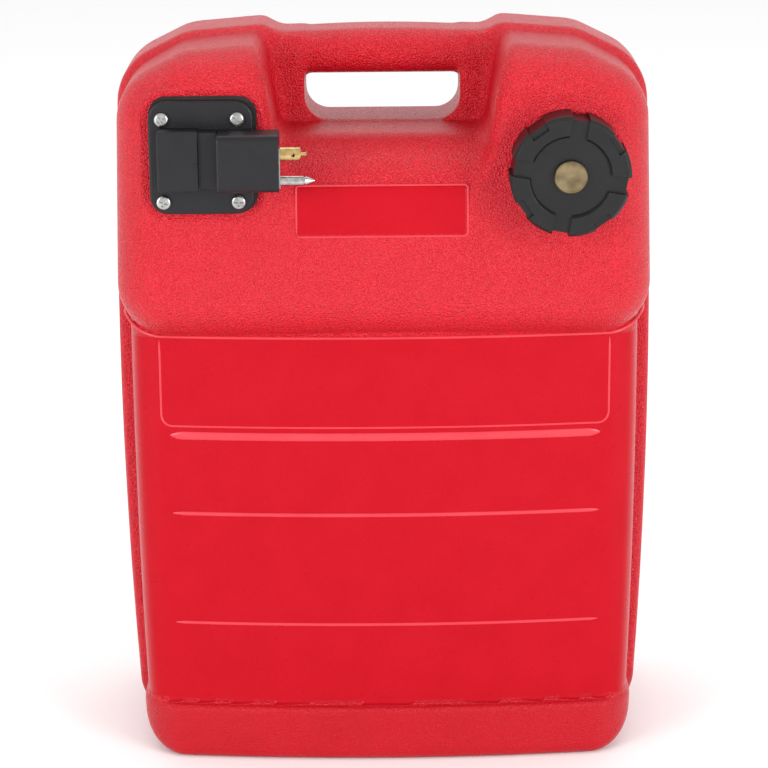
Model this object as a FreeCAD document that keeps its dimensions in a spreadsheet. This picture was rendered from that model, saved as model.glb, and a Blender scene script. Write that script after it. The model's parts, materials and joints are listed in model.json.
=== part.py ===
import FreeCAD, Part
import Sketcher
import math
import os
from FreeCAD import Placement, Rotation, Vector

# Portable outboard fuel tank, millimetres.
# X runs to the right, the front with the filler cap faces -Y, and Z is up.
# The origin is the centre of the base, and the mould's parting plane is y = 0.

os.makedirs("parts", exist_ok=True)
doc = FreeCAD.newDocument("fuel_tank")

# Driving dimensions: alias, value, meaning.
DIMENSIONS = [
    ("wall", 3.0, "wall of the blow moulding"),
    ("half_width", 165.6, "half width at the foot of the side line"),
    ("side_swell", 177.0, "half width where the two side tangents meet"),
    ("side_swell_height", 227.4, "height where the two side tangents meet"),
    ("side_radius", 3900.0, "long arc of each side"),
    ("foot_radius", 35.0, "lower corners seen from the front"),
    ("shoulder_radius", 39.0, "upper corners seen from the front"),
    ("shoulder_half_width", 168.6, "half width at the upper corner"),
    ("shoulder_height", 450.5, "height of the upper corner"),
    ("slope_end", 124.0, "half distance between the feet of the shoulders' tops"),
    ("slope_height", 472.4, "height there"),
    ("slope_radius", 36.0, "bend there"),
    ("shoulder_peak", 476.4, "height of the shoulder beside the grip"),
    ("shoulder_peak_at", 76.0, "half distance between the two peaks"),
    ("notch_at", 63.0, "half distance between the dips beside the handle"),
    ("notch_height", 470.0, "height of those dips"),
    ("notch_radius", 12.0, "bends at the peaks and the dips"),
    ("girdle_half", 25.0, "half depth of the band round the parting plane"),
    ("girdle_round", 6.0, "edge of that band"),
    ("front_depth", 100.0, "head's front face ahead of the parting plane"),
    ("back_depth", 93.0, "flat back behind the parting plane"),
    ("head_bottom", 287.0, "lowest line of the head bulge"),
    ("head_corner", 34.0, "lower corners of the head"),
    ("head_round", 28.0, "front edge of the head"),
    ("back_round", 24.0, "edge of the back"),
    ("head_step", 4.0, "step from the band to the head on the shoulders and sides"),
    ("back_step", 15.0, "the same step behind the band"),
    ("panel_half_width", 166.0, "lower panel's side wall"),
    ("panel_depth", 84.0, "lower panel's front at the middle"),
    ("panel_back", 89.0, "lower panel's back"),
    ("panel_foot", 12.0, "where the panel starts inside the base"),
    ("panel_overlap", 40.0, "how far the panel runs up inside the head"),
    ("crown", 8.0, "where the crowned front's two tangents meet, ahead of its depth"),
    ("crown_fall", 0.1135, "how steeply those tangents fall back from there"),
    ("crown_radius", 1170.0, "bend of the panel's and base's fronts"),
    ("panel_round", 27.0, "upright corners of the lower panel"),
    ("base_height", 37.6, "top of the base band"),
    ("base_ledge", 6.0, "how far the base band stands proud"),
    ("base_half_width", 161.5, "base band's side wall"),
    ("base_round", 6.5, "lower edge of the base"),
    ("rib_1_at", 221.0, "uppermost raised line across the panel"),
    ("rib_1_height", 5.8, "its height"),
    ("rib_2_at", 168.5, "middle line"),
    ("rib_2_height", 2.8, "its height"),
    ("rib_3_at", 93.5, "lowest line"),
    ("rib_3_height", 2.3, "its height"),
    ("rib_proud", 0.9, "how far those lines stand out"),
    ("rib_half_length", 136.5, "half length of those lines"),
    ("grip_half", 49.5, "half width of the hand slot"),
    ("grip_floor", 415.0, "floor of the hand slot"),
    ("grip_roof", 443.5, "underside of the handle"),
    ("handle_top", 471.5, "top of the handle"),
    ("handle_round", 13.0, "edges of the handle"),
    ("handle_reach", 66.0, "half length of the handle, ends inside the shoulders"),
    ("hollow_foot", 340.0, "foot of the side walls of the hollows round the slot"),
    ("hollow_foot_half", 54.0, "half distance between those walls there"),
    ("hollow_top", 540.0, "top of those walls, above the tank"),
    ("hollow_top_half", 85.0, "half distance between them there"),
    ("shelf_depth", 60.0, "where the front shelf rolls down, ahead of the parting plane"),
    ("front_drop", 41.0, "how far it rolls down"),
    ("rear_drop", 37.0, "how far the rear hollow rolls down"),
    ("rear_fall", 45.0, "its outer end below the slot's floor"),
    ("cap_x", 113.7, "centre of the filler"),
    ("cap_z", 397.4, "height of the filler"),
    ("neck_radius", 29.0, "outside of the neck under its thread"),
    ("neck_bore", 25.5, "inside of the neck"),
    ("neck_height", 21.0, "neck above its seat"),
    ("thread_pitch", 6.0, "filler thread"),
    ("thread_bite", 0.4, "how deep a thread's root sits in its wall"),
    ("thread_crest", 31.2, "outside of the neck's thread"),
    ("seat_rise", 0.6, "raised land round the neck"),
    ("seat_margin", 1.5, "that land beyond the cap"),
    ("neck_foot", 8.0, "how far the neck runs into the head's wall"),
    ("cap_bore", 31.7, "inside of the cap's skirt"),
    ("cap_thread_crest", 29.5, "inside of the cap's thread"),
    ("cap_radius", 37.0, "outside of the cap"),
    ("cap_height", 28.0, "cap's rim above the seat"),
    ("cap_recess_radius", 24.0, "sunk middle of the cap"),
    ("cap_recess", 25.5, "floor of that recess above the seat"),
    ("vent_radius", 10.0, "brass vent screw"),
    ("plate_x", -111.0, "centre of the outlet plate"),
    ("plate_z", 407.0, "height of the outlet plate"),
    ("plate_width", 64.0, "outlet plate"),
    ("plate_height", 70.0, "outlet plate"),
    ("plate_corner", 11.0, "outlet plate's corners"),
    ("gasket_thickness", 2.0, "outlet gasket"),
    ("plate_thickness", 5.5, "outlet plate"),
    ("land_sink", 0.8, "how far the outlet's land is sunk in the head"),
    ("land_margin", 4.0, "that land beyond the plate"),
    ("block_x", -124.5, "centre of the block on the plate"),
    ("block_width", 25.0, "block"),
    ("block_height", 37.0, "block"),
    ("block_depth", 20.2, "block ahead of the gasket"),
    ("arm_depth", 17.6, "arm behind the housing, ahead of the gasket"),
    ("screws_x", -111.6, "middle of the four outlet screws"),
    ("screws_z", 405.4, "height of that middle"),
    ("screw_span_x", 46.0, "outlet screws, across"),
    ("screw_span_z", 51.3, "outlet screws, up"),
    ("screw_head_radius", 4.5, "pan head"),
    ("screw_shank_radius", 1.9, "shank"),
    ("insert_radius", 3.4, "brass bushes for the screws"),
    ("insert_length", 9.0, "brass bushes"),
    ("boss_radius", 7.0, "bosses round the bushes"),
    ("spigot_x", -120.0, "centre of the pickup"),
    ("spigot_z", 409.0, "height of the pickup"),
    ("spigot_radius", 7.5, "plate's spigot round the pickup"),
    ("housing_left", -100.7, "connector housing"),
    ("housing_right", -62.9, "connector housing's face"),
    ("housing_low", 390.0, "connector housing"),
    ("housing_high", 425.0, "connector housing"),
    ("housing_front", 132.0, "connector housing's front ahead of the parting plane"),
    ("pin_depth", 121.5, "connector pins ahead of the parting plane"),
    ("nipple_z", 412.0, "height of the fuel nipple"),
    ("nipple_radius", 4.25, "fuel nipple"),
    ("nipple_root", 3.6, "the nipple's root in the housing"),
    ("nipple_tip", -49.6, "end of the fuel nipple"),
    ("guide_z", 395.6, "height of the guide pin"),
    ("guide_radius", 3.0, "guide pin"),
    ("guide_root", 2.4, "the guide pin's root in the housing"),
    ("clip_thickness", 0.7, "steel plate at the housing's face"),
    ("guide_tip", -41.4, "point of the guide pin"),
    ("tube_radius", 4.8, "pickup tube"),
    ("tube_bore", 3.4, "pickup tube"),
    ("tube_front", 96.0, "pickup tube's front end ahead of the parting plane"),
    ("tube_stop", 85.0, "its far end behind the parting plane"),
]

# Beyond every face of the tank, sideways or in depth, and above it.
FAR = 160.0
HIGH = 520.0

FRONT_PLANE = "XZ_Plane"
SIDE_PLANE = "YZ_Plane"
PLATE_BACK = "-dims.front_depth + dims.land_sink - dims.gasket_thickness"

sheet = doc.addObject("Spreadsheet::Sheet", "dims")
for row, (alias, value, meaning) in enumerate(DIMENSIONS, start=1):
    sheet.set(f"A{row}", meaning)
    sheet.set(f"B{row}", str(value))
    sheet.setAlias(f"B{row}", alias)
doc.recompute()


def dim(alias):
    """A driving dimension, read from the sheet."""
    return float(sheet.get(alias))


def bind(obj, **expressions):
    """Tie properties to the sheet; two underscores stand for a dot."""
    for name, expression in expressions.items():
        obj.setExpression(name.replace("__", "."), expression)
    return obj


def place(obj, x="0", y="0", z="0", axis=(1, 0, 0), angle=0.0):
    """Turn an object about an axis and tie its position to the sheet."""
    obj.Placement = Placement(Vector(0, 0, 0), Rotation(Vector(*axis), angle))
    for letter, expression in (("x", x), ("y", y), ("z", z)):
        if expression != "0":
            obj.setExpression(f"Placement.Base.{letter}", expression)
    return obj


def cylinder(name, radius, height, **where):
    """A cylinder along its local Z."""
    obj = doc.addObject("Part::Cylinder", name)
    bind(obj, Radius=radius, Height=height)
    return place(obj, **where)


def cone(name, radius_low, radius_high, height, **where):
    """A cone along its local Z."""
    obj = doc.addObject("Part::Cone", name)
    bind(obj, Radius1=radius_low, Radius2=radius_high, Height=height)
    return place(obj, **where)


def box(name, length, width, height, **where):
    """A box from its low corner."""
    obj = doc.addObject("Part::Box", name)
    bind(obj, Length=length, Width=width, Height=height)
    return place(obj, **where)


def fuse(name, pieces):
    """One solid from several objects."""
    obj = doc.addObject("Part::MultiFuse", name)
    obj.Shapes = pieces
    return obj


def cut(name, base, tools):
    """An object less one or several others."""
    obj = doc.addObject("Part::Cut", name)
    obj.Base = base
    obj.Tool = tools[0] if len(tools) == 1 else fuse(f"{name}_tools", tools)
    return obj


def shape_feature(name, shape):
    """A feature whose shape is worked out from the sheet by the code below."""
    obj = doc.addObject("Part::Feature", name)
    obj.Shape = shape
    return obj


def rod(x, z, radius, y_near, y_far):
    """A plain shape: a cylinder along Y between two depths."""
    return Part.makeCylinder(radius, y_far - y_near, Vector(x, y_near, z), Vector(0, 1, 0))


def rod_object(name, radius, x, z, near, length):
    """A cylinder along Y from its nearest point to the viewer."""
    obj = doc.addObject("Part::Cylinder", name)
    bind(obj, Radius=radius, Height=str(length))
    obj.Placement = Placement(Vector(x, near, z), Rotation(Vector(1, 0, 0), -90))
    return obj


def spigot_rod(name, radius, near, length):
    """A cylinder along Y on the pickup's axis."""
    return rod_object(name, radius, dim("spigot_x"), dim("spigot_z"), near, length)


def cross_rod(name, radius, length, start, height, depth="-dims.pin_depth"):
    """A cylinder along X, by default at the connector pins' depth."""
    return cylinder(name, radius, length, x=start, y=depth, z=height, axis=(0, 1, 0), angle=90)


def cross_cone(name, radius_low, radius_high, length, start, height):
    """A cone along X at the connector pins' depth."""
    return cone(name, radius_low, radius_high, length, x=start, y="-dims.pin_depth", z=height,
                axis=(0, 1, 0), angle=90)


def swung_box(name, size, place_at, offset, swing):
    """A box turned about a point; the offset to its low corner turns with it."""
    obj = doc.addObject("Part::Box", name)
    bind(obj, Length=str(size[0]), Width=str(size[1]), Height=str(size[2]))
    obj.Placement = Placement(Vector(*place_at) + swing.multVec(Vector(*offset)), swing)
    return obj


def on_filler(obj):
    """Stand a piece made along local Z on the filler's seat, pointing at -Y."""
    return place(obj, "dims.cap_x", "-dims.front_depth", "dims.cap_z", (1, 0, 0), 90)


# Rounded outlines of the moulding


def rounded_outline(corners):
    """Face in the X-Y plane inside a polygon whose corners (x, y, radius) are rounded."""
    runs = []
    count = len(corners)
    for index, (x, y, radius) in enumerate(corners):
        corner = Vector(x, y, 0)
        before = (Vector(*corners[index - 1][:2], 0) - corner).normalize()
        after = (Vector(*corners[(index + 1) % count][:2], 0) - corner).normalize()
        half_angle = before.getAngle(after) / 2
        reach = radius / math.tan(half_angle)
        middle = (before + after).normalize()
        centre = corner + middle * (radius / math.sin(half_angle))
        runs.append((corner + before * reach, centre - middle * radius, corner + after * reach))
    edges = []
    for index, (start, middle, end) in enumerate(runs):
        edges.append(Part.Arc(start, middle, end).toShape())
        following = runs[(index + 1) % count][0]
        if end.distanceToPoint(following) > 1e-4:
            edges.append(Part.LineSegment(end, following).toShape())
    return Part.Face(Part.Wire(edges))


def mirrored(right_side):
    """Corners of a symmetric outline, from its right side listed upwards."""
    return right_side + [(-x, y, radius) for x, y, radius in reversed(right_side)]


def stand_up(face):
    """Turn a face in the X-Y plane up into the X-Z plane."""
    turned = face.copy()
    turned.rotate(Vector(0, 0, 0), Vector(1, 0, 0), 90)
    return turned


def through_y(face, low, high):
    """Extrude an upright outline from y = low to y = high."""
    solid = stand_up(face).extrude(Vector(0, high - low, 0))
    solid.translate(Vector(0, low, 0))
    return solid


def edges_in_plane(shape, axis, value):
    """Edges that lie in the plane where one coordinate has the given value."""
    found = []
    for edge in shape.Edges:
        bounds = edge.BoundBox
        low, high = getattr(bounds, axis + "Min"), getattr(bounds, axis + "Max")
        if abs(low - value) < 0.01 and abs(high - value) < 0.01:
            found.append(edge)
    return found


# Forms of the moulding, each drawn in by inset for the space inside the wall


def front_outline(inset, step, side_step):
    """The tank's outline from the front, drawn in by the band's step."""
    bend = dim("notch_radius")
    face = rounded_outline(mirrored([
        (dim("half_width") - side_step, step, dim("foot_radius")),
        (dim("side_swell") - side_step, dim("side_swell_height"), dim("side_radius")),
        (dim("shoulder_half_width") - side_step, dim("shoulder_height") - step, dim("shoulder_radius")),
        (dim("slope_end"), dim("slope_height") - step, dim("slope_radius")),
        (dim("shoulder_peak_at"), dim("shoulder_peak") - step, bend),
        (dim("notch_at"), dim("notch_height") - step, bend),
    ]))
    return face.makeOffset2D(-inset) if inset else face


def girdle(inset):
    """The band round the parting plane, with the handle left out."""
    half = dim("girdle_half") - inset
    solid = through_y(front_outline(inset, 0, 0), -half, half)
    edges = edges_in_plane(solid, "Y", -half) + edges_in_plane(solid, "Y", half)
    return solid.makeFillet(dim("girdle_round") - inset / 2, edges)


def handle(inset):
    """The bar across the hand slot."""
    half = dim("girdle_half") - inset
    low = dim("grip_roof") + inset
    high = dim("handle_top") - inset
    radius = dim("handle_round") - inset
    section = rounded_outline([(low, -half, radius), (high, -half, radius),
                               (high, half, radius), (low, half, radius)])
    reach = dim("handle_reach")
    bar = section.extrude(Vector(0, 0, 2 * reach))
    bar.rotate(Vector(0, 0, 0), Vector(0, 1, 0), -90)
    bar.translate(Vector(reach, 0, 0))
    return bar


def head_half(inset, low, high, step, edge, radius):
    """One side of the upper bulge, from y = low to y = high, rounded at its outer face."""
    side = dim("head_step")
    bend = dim("notch_radius")
    face = rounded_outline(mirrored([
        (dim("side_swell") - 2 * side, dim("head_bottom"), dim("head_corner")),
        (dim("shoulder_half_width") - side, dim("shoulder_height") - step, dim("shoulder_radius") - 2),
        (dim("slope_end") - 1, dim("slope_height") - step, dim("slope_radius")),
        (dim("shoulder_peak_at"), dim("shoulder_peak") - step, bend),
        (dim("notch_at") - 1, dim("notch_height") - 2.5 - step, bend),
    ]))
    solid = through_y(face.makeOffset2D(-inset) if inset else face, low, high)
    return solid.makeFillet(radius - inset, edges_in_plane(solid, "Y", edge))


def head(inset):
    """The upper bulge that carries the filler and the outlet."""
    front = -dim("front_depth") + inset
    back = dim("back_depth") - inset
    ahead = head_half(inset, front, 0, dim("head_step"), front, dim("head_round"))
    behind = head_half(inset, -1, back, dim("back_step"), back, dim("back_round"))
    return ahead.fuse(behind)


def crowned_section(front, half_width, back, radius):
    """Plan of the lower body: a crowned front, round corners and a flat back."""
    tip = -front - dim("crown")
    corner_front = tip + dim("crown_fall") * half_width
    return rounded_outline([
        (half_width, corner_front, radius),
        (half_width, back, radius - 3),
        (-half_width, back, radius - 3),
        (-half_width, corner_front, radius),
        (0, tip, dim("crown_radius")),
    ])


def panel(inset):
    """The smooth lower body between the head and the base band."""
    face = crowned_section(dim("panel_depth"), dim("panel_half_width"), dim("panel_back"), dim("panel_round"))
    if inset:
        face = face.makeOffset2D(-inset)
    low = dim("panel_foot")
    high = dim("head_bottom") + dim("panel_overlap")
    solid = face.extrude(Vector(0, 0, high - low))
    solid.translate(Vector(0, 0, low))
    return solid.common(through_y(front_outline(inset, 0, 2 * dim("head_step")), -FAR, FAR))


def lower_rim(edge, side):
    """Whether an edge of the base runs round its front (-1) or back (1) lower rim."""
    bounds = edge.BoundBox
    nearest = min(side * bounds.YMin, side * bounds.YMax)
    upright = bounds.DiagonalLength - bounds.ZLength < 1e-4
    return bounds.ZMax < dim("base_height") - 5 and nearest > 50 and not upright


def base(inset):
    """The band round the foot."""
    ledge = dim("base_ledge")
    face = crowned_section(dim("panel_depth") + ledge, dim("base_half_width"),
                           dim("back_depth"), dim("panel_round") + 3)
    if inset:
        face = face.makeOffset2D(-inset)
    solid = face.extrude(Vector(0, 0, dim("base_height") - 2 * inset))
    solid.translate(Vector(0, 0, inset))
    solid = solid.common(through_y(front_outline(inset, 0, 0.5), -FAR, FAR)).Solids[0]
    rims = [edge for edge in solid.Edges if lower_rim(edge, -1) or lower_rim(edge, 1)]
    solid = solid.makeFillet(dim("base_round") - inset, rims)
    solid = solid.makeFillet(3 - inset / 2, edges_in_plane(solid, "Z", dim("base_height") - inset))
    return solid


def hollow(side, foot, drop, fall, inset):
    """Space before (side -1) or behind (side 1) the band, over a shelf that rolls down."""
    floor = dim("grip_floor")
    near = side * (dim("girdle_half") - inset)
    swing = drop - inset
    turn = Vector(0, side * foot, floor - drop)
    roll_start = turn + Vector(0, 0, swing)
    roll_middle = turn + Vector(0, side * swing, swing) / math.sqrt(2)
    roll_end = turn + Vector(0, side * swing, 0)
    outline = [roll_end, Vector(0, side * FAR, floor - fall), Vector(0, side * FAR, HIGH),
               Vector(0, near, HIGH), Vector(0, near, floor - inset), roll_start]
    edges = [Part.Arc(roll_start, roll_middle, roll_end).toShape()]
    for start, end in zip(outline, outline[1:]):
        if start.distanceToPoint(end) > 1e-4:
            edges.append(Part.LineSegment(start, end).toShape())
    solid = Part.Face(Part.Wire(edges)).extrude(Vector(2 * FAR, 0, 0))
    solid.translate(Vector(-FAR, 0, 0))
    return solid


def grip_space(inset):
    """What the hand slot and the hollows before and behind it take away."""
    half, low = dim("grip_half"), dim("grip_floor")
    slot_face = rounded_outline([(half, low, 15), (half, HIGH, 9), (-half, HIGH, 9), (-half, low, 15)])
    foot, foot_half = dim("hollow_foot"), dim("hollow_foot_half")
    top, top_half = dim("hollow_top"), dim("hollow_top_half")
    flare_face = rounded_outline([(foot_half, foot, 5), (top_half, top, 5),
                                  (-top_half, top, 5), (-foot_half, foot, 5)])
    if inset:
        slot_face = slot_face.makeOffset2D(inset)
        flare_face = flare_face.makeOffset2D(inset)
    slot = through_y(slot_face, -45, 45)
    flare = through_y(flare_face, -FAR, FAR)
    front = hollow(-1, dim("shelf_depth"), dim("front_drop"), dim("front_drop"), inset)
    rear = hollow(1, dim("girdle_half"), dim("rear_drop"), dim("rear_fall"), inset)
    return slot.fuse([front.common(flare), rear.common(flare)])


def moulded_form(inset):
    """The whole blow moulding, or the space inside its wall."""
    body = girdle(inset).fuse([head(inset), panel(inset), base(inset)])
    body = body.cut(grip_space(inset))
    return body.fuse(handle(inset)).removeSplitter()


# Threads


def thread_ridge(root_radius, crest_radius, start, length):
    """Helical ridge along local Z, wide at its root and narrow at its crest."""
    pitch = dim("thread_pitch")
    root_half, crest_half = 1.5, 0.8
    helix = Part.makeHelix(pitch, length, root_radius)
    corners = [Vector(root_radius, 0, -root_half), Vector(crest_radius, 0, -crest_half),
               Vector(crest_radius, 0, crest_half), Vector(root_radius, 0, root_half)]
    section = Part.makePolygon(corners + corners[:1])
    ridge = Part.Wire(helix.Edges).makePipeShell([section], True, True)
    ridge.translate(Vector(0, 0, start))
    return ridge


def filler_placement():
    """Local Z of the filler turned to -Y on the head's front face."""
    origin = Vector(dim("cap_x"), -dim("front_depth"), dim("cap_z"))
    return Placement(origin, Rotation(Vector(1, 0, 0), 90))


def screw_places():
    """Centres (x, z) of the four outlet screws."""
    half_x = dim("screw_span_x") / 2
    half_z = dim("screw_span_z") / 2
    return [(dim("screws_x") + sx * half_x, dim("screws_z") + sz * half_z) for sx in (-1, 1) for sz in (-1, 1)]


def seat_depth():
    """Sunk land under the outlet gasket."""
    return -dim("front_depth") + dim("land_sink")


def outlet_land(clearance, near, far):
    """Rounded rectangle round the outlet plate, between two depths."""
    half_width = dim("plate_width") / 2 + clearance
    half_height = dim("plate_height") / 2 + clearance
    radius = dim("plate_corner") + clearance
    face = rounded_outline([(half_width, -half_height, radius), (half_width, half_height, radius),
                            (-half_width, half_height, radius), (-half_width, -half_height, radius)])
    solid = through_y(face, near, far)
    solid.translate(Vector(dim("plate_x"), 0, dim("plate_z")))
    return solid


def panel_rib(number):
    """One of the three raised lines across the crowned panel."""
    face = crowned_section(dim("panel_depth") + dim("rib_proud"), dim("panel_half_width"),
                           dim("panel_back"), dim("panel_round"))
    half = dim("rib_half_length")
    height = dim(f"rib_{number}_height")
    solid = face.extrude(Vector(0, 0, height))
    solid.translate(Vector(0, 0, dim(f"rib_{number}_at") - height / 2))
    return solid.common(Part.makeBox(2 * half, 60, HIGH, Vector(-half, -120, 0)))


def tank_outside():
    """The moulding before its inside is taken away."""
    foot = dim("neck_foot")
    neck = Part.makeCylinder(dim("neck_radius"), dim("neck_height") + foot, Vector(0, 0, -foot))
    seat = Part.makeCylinder(dim("cap_radius") + dim("seat_margin"), foot + dim("seat_rise"), Vector(0, 0, -foot))
    ridge = thread_ridge(dim("neck_radius") - dim("thread_bite"), dim("thread_crest"), 3, 14)
    filler = neck.fuse([seat, ridge])
    filler.Placement = filler_placement()
    margin = dim("land_margin")
    land = outlet_land(margin, seat_depth(), seat_depth() + 6)
    outer = moulded_form(0).cut(outlet_land(margin, -FAR, seat_depth()))
    return outer.fuse([filler, land] + [panel_rib(number) for number in (1, 2, 3)])


def tank_inside():
    """The space inside the wall, with the bosses and the land's backing left solid."""
    wall = dim("wall")
    boss_end = seat_depth() + dim("insert_length") + 4
    bosses = [rod(x, z, dim("boss_radius"), -dim("front_depth"), boss_end) for x, z in screw_places()]
    backing = outlet_land(dim("land_margin") - wall, seat_depth() - 3, seat_depth() + wall)
    return moulded_form(wall).cut(bosses + [backing])


def tank_shell():
    """Blow-moulded tank with its neck, handle and outlet bosses."""
    bore = Part.makeCylinder(dim("neck_bore"), dim("neck_height") + 20, Vector(0, 0, -12))
    bore.Placement = filler_placement()
    hole_end = seat_depth() + dim("insert_length") + 0.5
    holes = [rod(x, z, dim("insert_radius"), seat_depth() - 5, hole_end) for x, z in screw_places()]
    holes.append(rod(dim("spigot_x"), dim("spigot_z"), dim("spigot_radius") + 0.3, -FAR, seat_depth() + 20))
    return tank_outside().cut([tank_inside(), bore] + holes).removeSplitter()


def build_tank_shell():
    """Shell as a feature of the document."""
    return shape_feature("tank_shell", tank_shell())


# Filler cap


def cap_box(name, size, reach, low, angle):
    """Box lying along a ray from the filler's axis, swung to an angle from +X."""
    return swung_box(name, size, (0, 0, low), (reach, -size[1] / 2, 0), Rotation(Vector(0, 0, 1), angle))


def build_cap_body():
    """Cap with a sunk middle, four grip arcs, a vent boss and a thread."""
    skirt = cylinder("cap_skirt", "dims.cap_radius", "dims.cap_height - 3.3", z="1.3")
    crown = cone("cap_crown", "dims.cap_radius", "dims.cap_radius - 1.8", "2", z="dims.cap_height - 2")
    boss = cylinder("cap_boss", "9", "9", z="dims.neck_height - 6")
    bore = cylinder("cap_hollow", "dims.cap_bore", "dims.neck_height + 0.7", z="1.3")
    recess = cylinder("cap_well", "dims.cap_recess_radius", "5", z="dims.cap_recess")
    lip = cone("cap_well_lip", "dims.cap_recess_radius", "dims.cap_recess_radius + 1.8", "2",
               z="dims.cap_height - 1.6")
    tools = [recess, lip]
    edge = dim("cap_radius")
    floor = dim("cap_recess")
    gap_width, notch_width = 10.5, 12
    for index in range(4):
        gap_at = 90 * index - 10
        notch_at = 90 * index + 35
        tools += [
            cap_box(f"cap_gap_{index}", (40, gap_width, 5), 8, floor, gap_at),
            cap_box(f"cap_flank_{index}", (10, gap_width, 40), edge - 2.4, 0, gap_at),
            cap_box(f"cap_notch_{index}", (10, notch_width, 5), edge - 5.6, floor + 0.3, notch_at),
            cap_box(f"cap_side_{index}", (10, notch_width, 40), edge - 1.5, 0, notch_at),
        ]
    insert_hole = cylinder("cap_insert_hole", "6", "40")
    dressed = cut("cap_dressed", fuse("cap_blank", [skirt, crown]), tools + [bore])
    root = dim("cap_bore") + dim("thread_bite")
    thread = shape_feature("cap_thread", thread_ridge(root, dim("cap_thread_crest"), 6, 12))
    body = cut("cap_body", fuse("cap_with_thread", [dressed, boss, thread]), [insert_hole])
    return on_filler(body)


def build_cap_gasket():
    """Flat ring between the neck's rim and the cap."""
    outer = cylinder("gasket_disc", "dims.neck_radius + 1.6", "2", z="dims.neck_height")
    hole = cylinder("gasket_hole", "dims.neck_bore", "10", z="dims.neck_height - 1")
    return on_filler(cut("cap_gasket", outer, [hole]))


def build_vent_insert():
    """Brass bush moulded into the cap."""
    bush = cylinder("bush_blank", "6", "dims.cap_recess - dims.neck_height + 6", z="dims.neck_height - 6")
    hole = cylinder("bush_hole", "3.05", "40")
    return on_filler(cut("vent_insert", bush, [hole]))


def build_vent_seal():
    """Washer under the vent screw's head."""
    disc = cylinder("seal_disc", "7", "1", z="dims.cap_recess")
    hole = cylinder("seal_hole", "3.3", "40")
    return on_filler(cut("vent_seal", disc, [hole]))


def build_vent_screw():
    """Turned brass vent screw with a raised bright rim."""
    head = cylinder("vent_head", "dims.vent_radius", "2.2", z="dims.cap_recess + 1")
    rim = cone("vent_rim", "dims.vent_radius", "dims.vent_radius - 0.6", "0.6", z="dims.cap_recess + 3.2")
    stem = cylinder("vent_stem", "3", "12.5", z="dims.cap_recess - 11.5")
    dish = cylinder("vent_dish", "dims.vent_radius - 1.3", "2", z="dims.cap_recess + 3.5")
    return on_filler(cut("vent_screw", fuse("vent_blank", [head, rim, stem]), [dish]))


# Fuel outlet


def origin_plane(body, role):
    """One of a body's own origin planes."""
    return [feature for feature in body.Origin.OriginFeatures if feature.Role == role][0]


def rectangle_sketch(body, name, role, width, height):
    """Centred rectangle whose sides are tied to the sheet."""
    sketch = body.newObject("Sketcher::SketchObject", name)
    sketch.AttachmentSupport = [(origin_plane(body, role), "")]
    sketch.MapMode = "FlatFace"
    corners = [Vector(-10, -10, 0), Vector(10, -10, 0), Vector(10, 10, 0), Vector(-10, 10, 0)]
    for index in range(4):
        sketch.addGeometry(Part.LineSegment(corners[index], corners[(index + 1) % 4]), False)
    for index in range(4):
        sketch.addConstraint(Sketcher.Constraint("Coincident", index, 2, (index + 1) % 4, 1))
    sketch.addConstraint([Sketcher.Constraint("Horizontal", 0), Sketcher.Constraint("Horizontal", 2),
                          Sketcher.Constraint("Vertical", 1), Sketcher.Constraint("Vertical", 3)])
    sketch.addConstraint(Sketcher.Constraint("Symmetric", 0, 1, 2, 1, -1, 1))
    across = sketch.addConstraint(Sketcher.Constraint("DistanceX", 0, 1, 0, 2, 20))
    up = sketch.addConstraint(Sketcher.Constraint("DistanceY", 1, 1, 1, 2, 20))
    sketch.renameConstraint(across, "width")
    sketch.renameConstraint(up, "height")
    bind(sketch, Constraints__width=width, Constraints__height=height)
    return sketch


def round_edges(body, feature, chosen, radius):
    """Fillet the edges of a feature that a test chooses."""
    names = [f"Edge{index}" for index, edge in enumerate(feature.Shape.Edges, start=1) if chosen(edge)]
    fillet = body.newObject("PartDesign::Fillet", f"{body.Name}_round")
    fillet.Base = (feature, names)
    bind(fillet, Radius=radius)
    doc.recompute()
    return fillet


def runs_along(axis):
    """Test for straight edges along an axis."""
    def test(edge):
        return (edge.BoundBox.DiagonalLength - getattr(edge.BoundBox, axis + "Length")) < 1e-4
    return test


def before(depth):
    """Test for edges that lie wholly ahead of a depth."""
    def test(edge):
        return edge.BoundBox.YMax < depth
    return test


def rounded_block(name, role, width, height, length, corner, lip=None):
    """Padded rectangle with round corners and, if asked, a rounded front edge."""
    body = doc.addObject("PartDesign::Body", name)
    sketch = rectangle_sketch(body, f"{name}_sketch", role, width, height)
    pad = body.newObject("PartDesign::Pad", f"{name}_pad")
    pad.Profile = sketch
    bind(pad, Length=length)
    sketch.Visibility = False
    doc.recompute()
    last = round_edges(body, pad, runs_along("Y" if role == FRONT_PLANE else "X"), corner)
    if lip:
        last = round_edges(body, last, before(last.Shape.BoundBox.YMin + 1e-3), lip)
    body.Tip = last
    return body


def build_outlet_gasket():
    """Rubber sheet between the plate and the tank, a little larger at one corner."""
    sheet_body = rounded_block("gasket_sheet", FRONT_PLANE, "dims.plate_width + 2", "dims.plate_height + 2",
                               "dims.gasket_thickness", "dims.plate_corner")
    place(sheet_body, "dims.plate_x + 1", "-dims.front_depth + dims.land_sink", "dims.plate_z + 1")
    holes = [rod_object(f"gasket_bolt_{index}", "2.3", x, z, -110, 20)
             for index, (x, z) in enumerate(screw_places())]
    holes.append(spigot_rod("gasket_port", "dims.spigot_radius + 0.3", -110, 20))
    return cut("outlet_gasket", sheet_body, holes)


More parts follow.
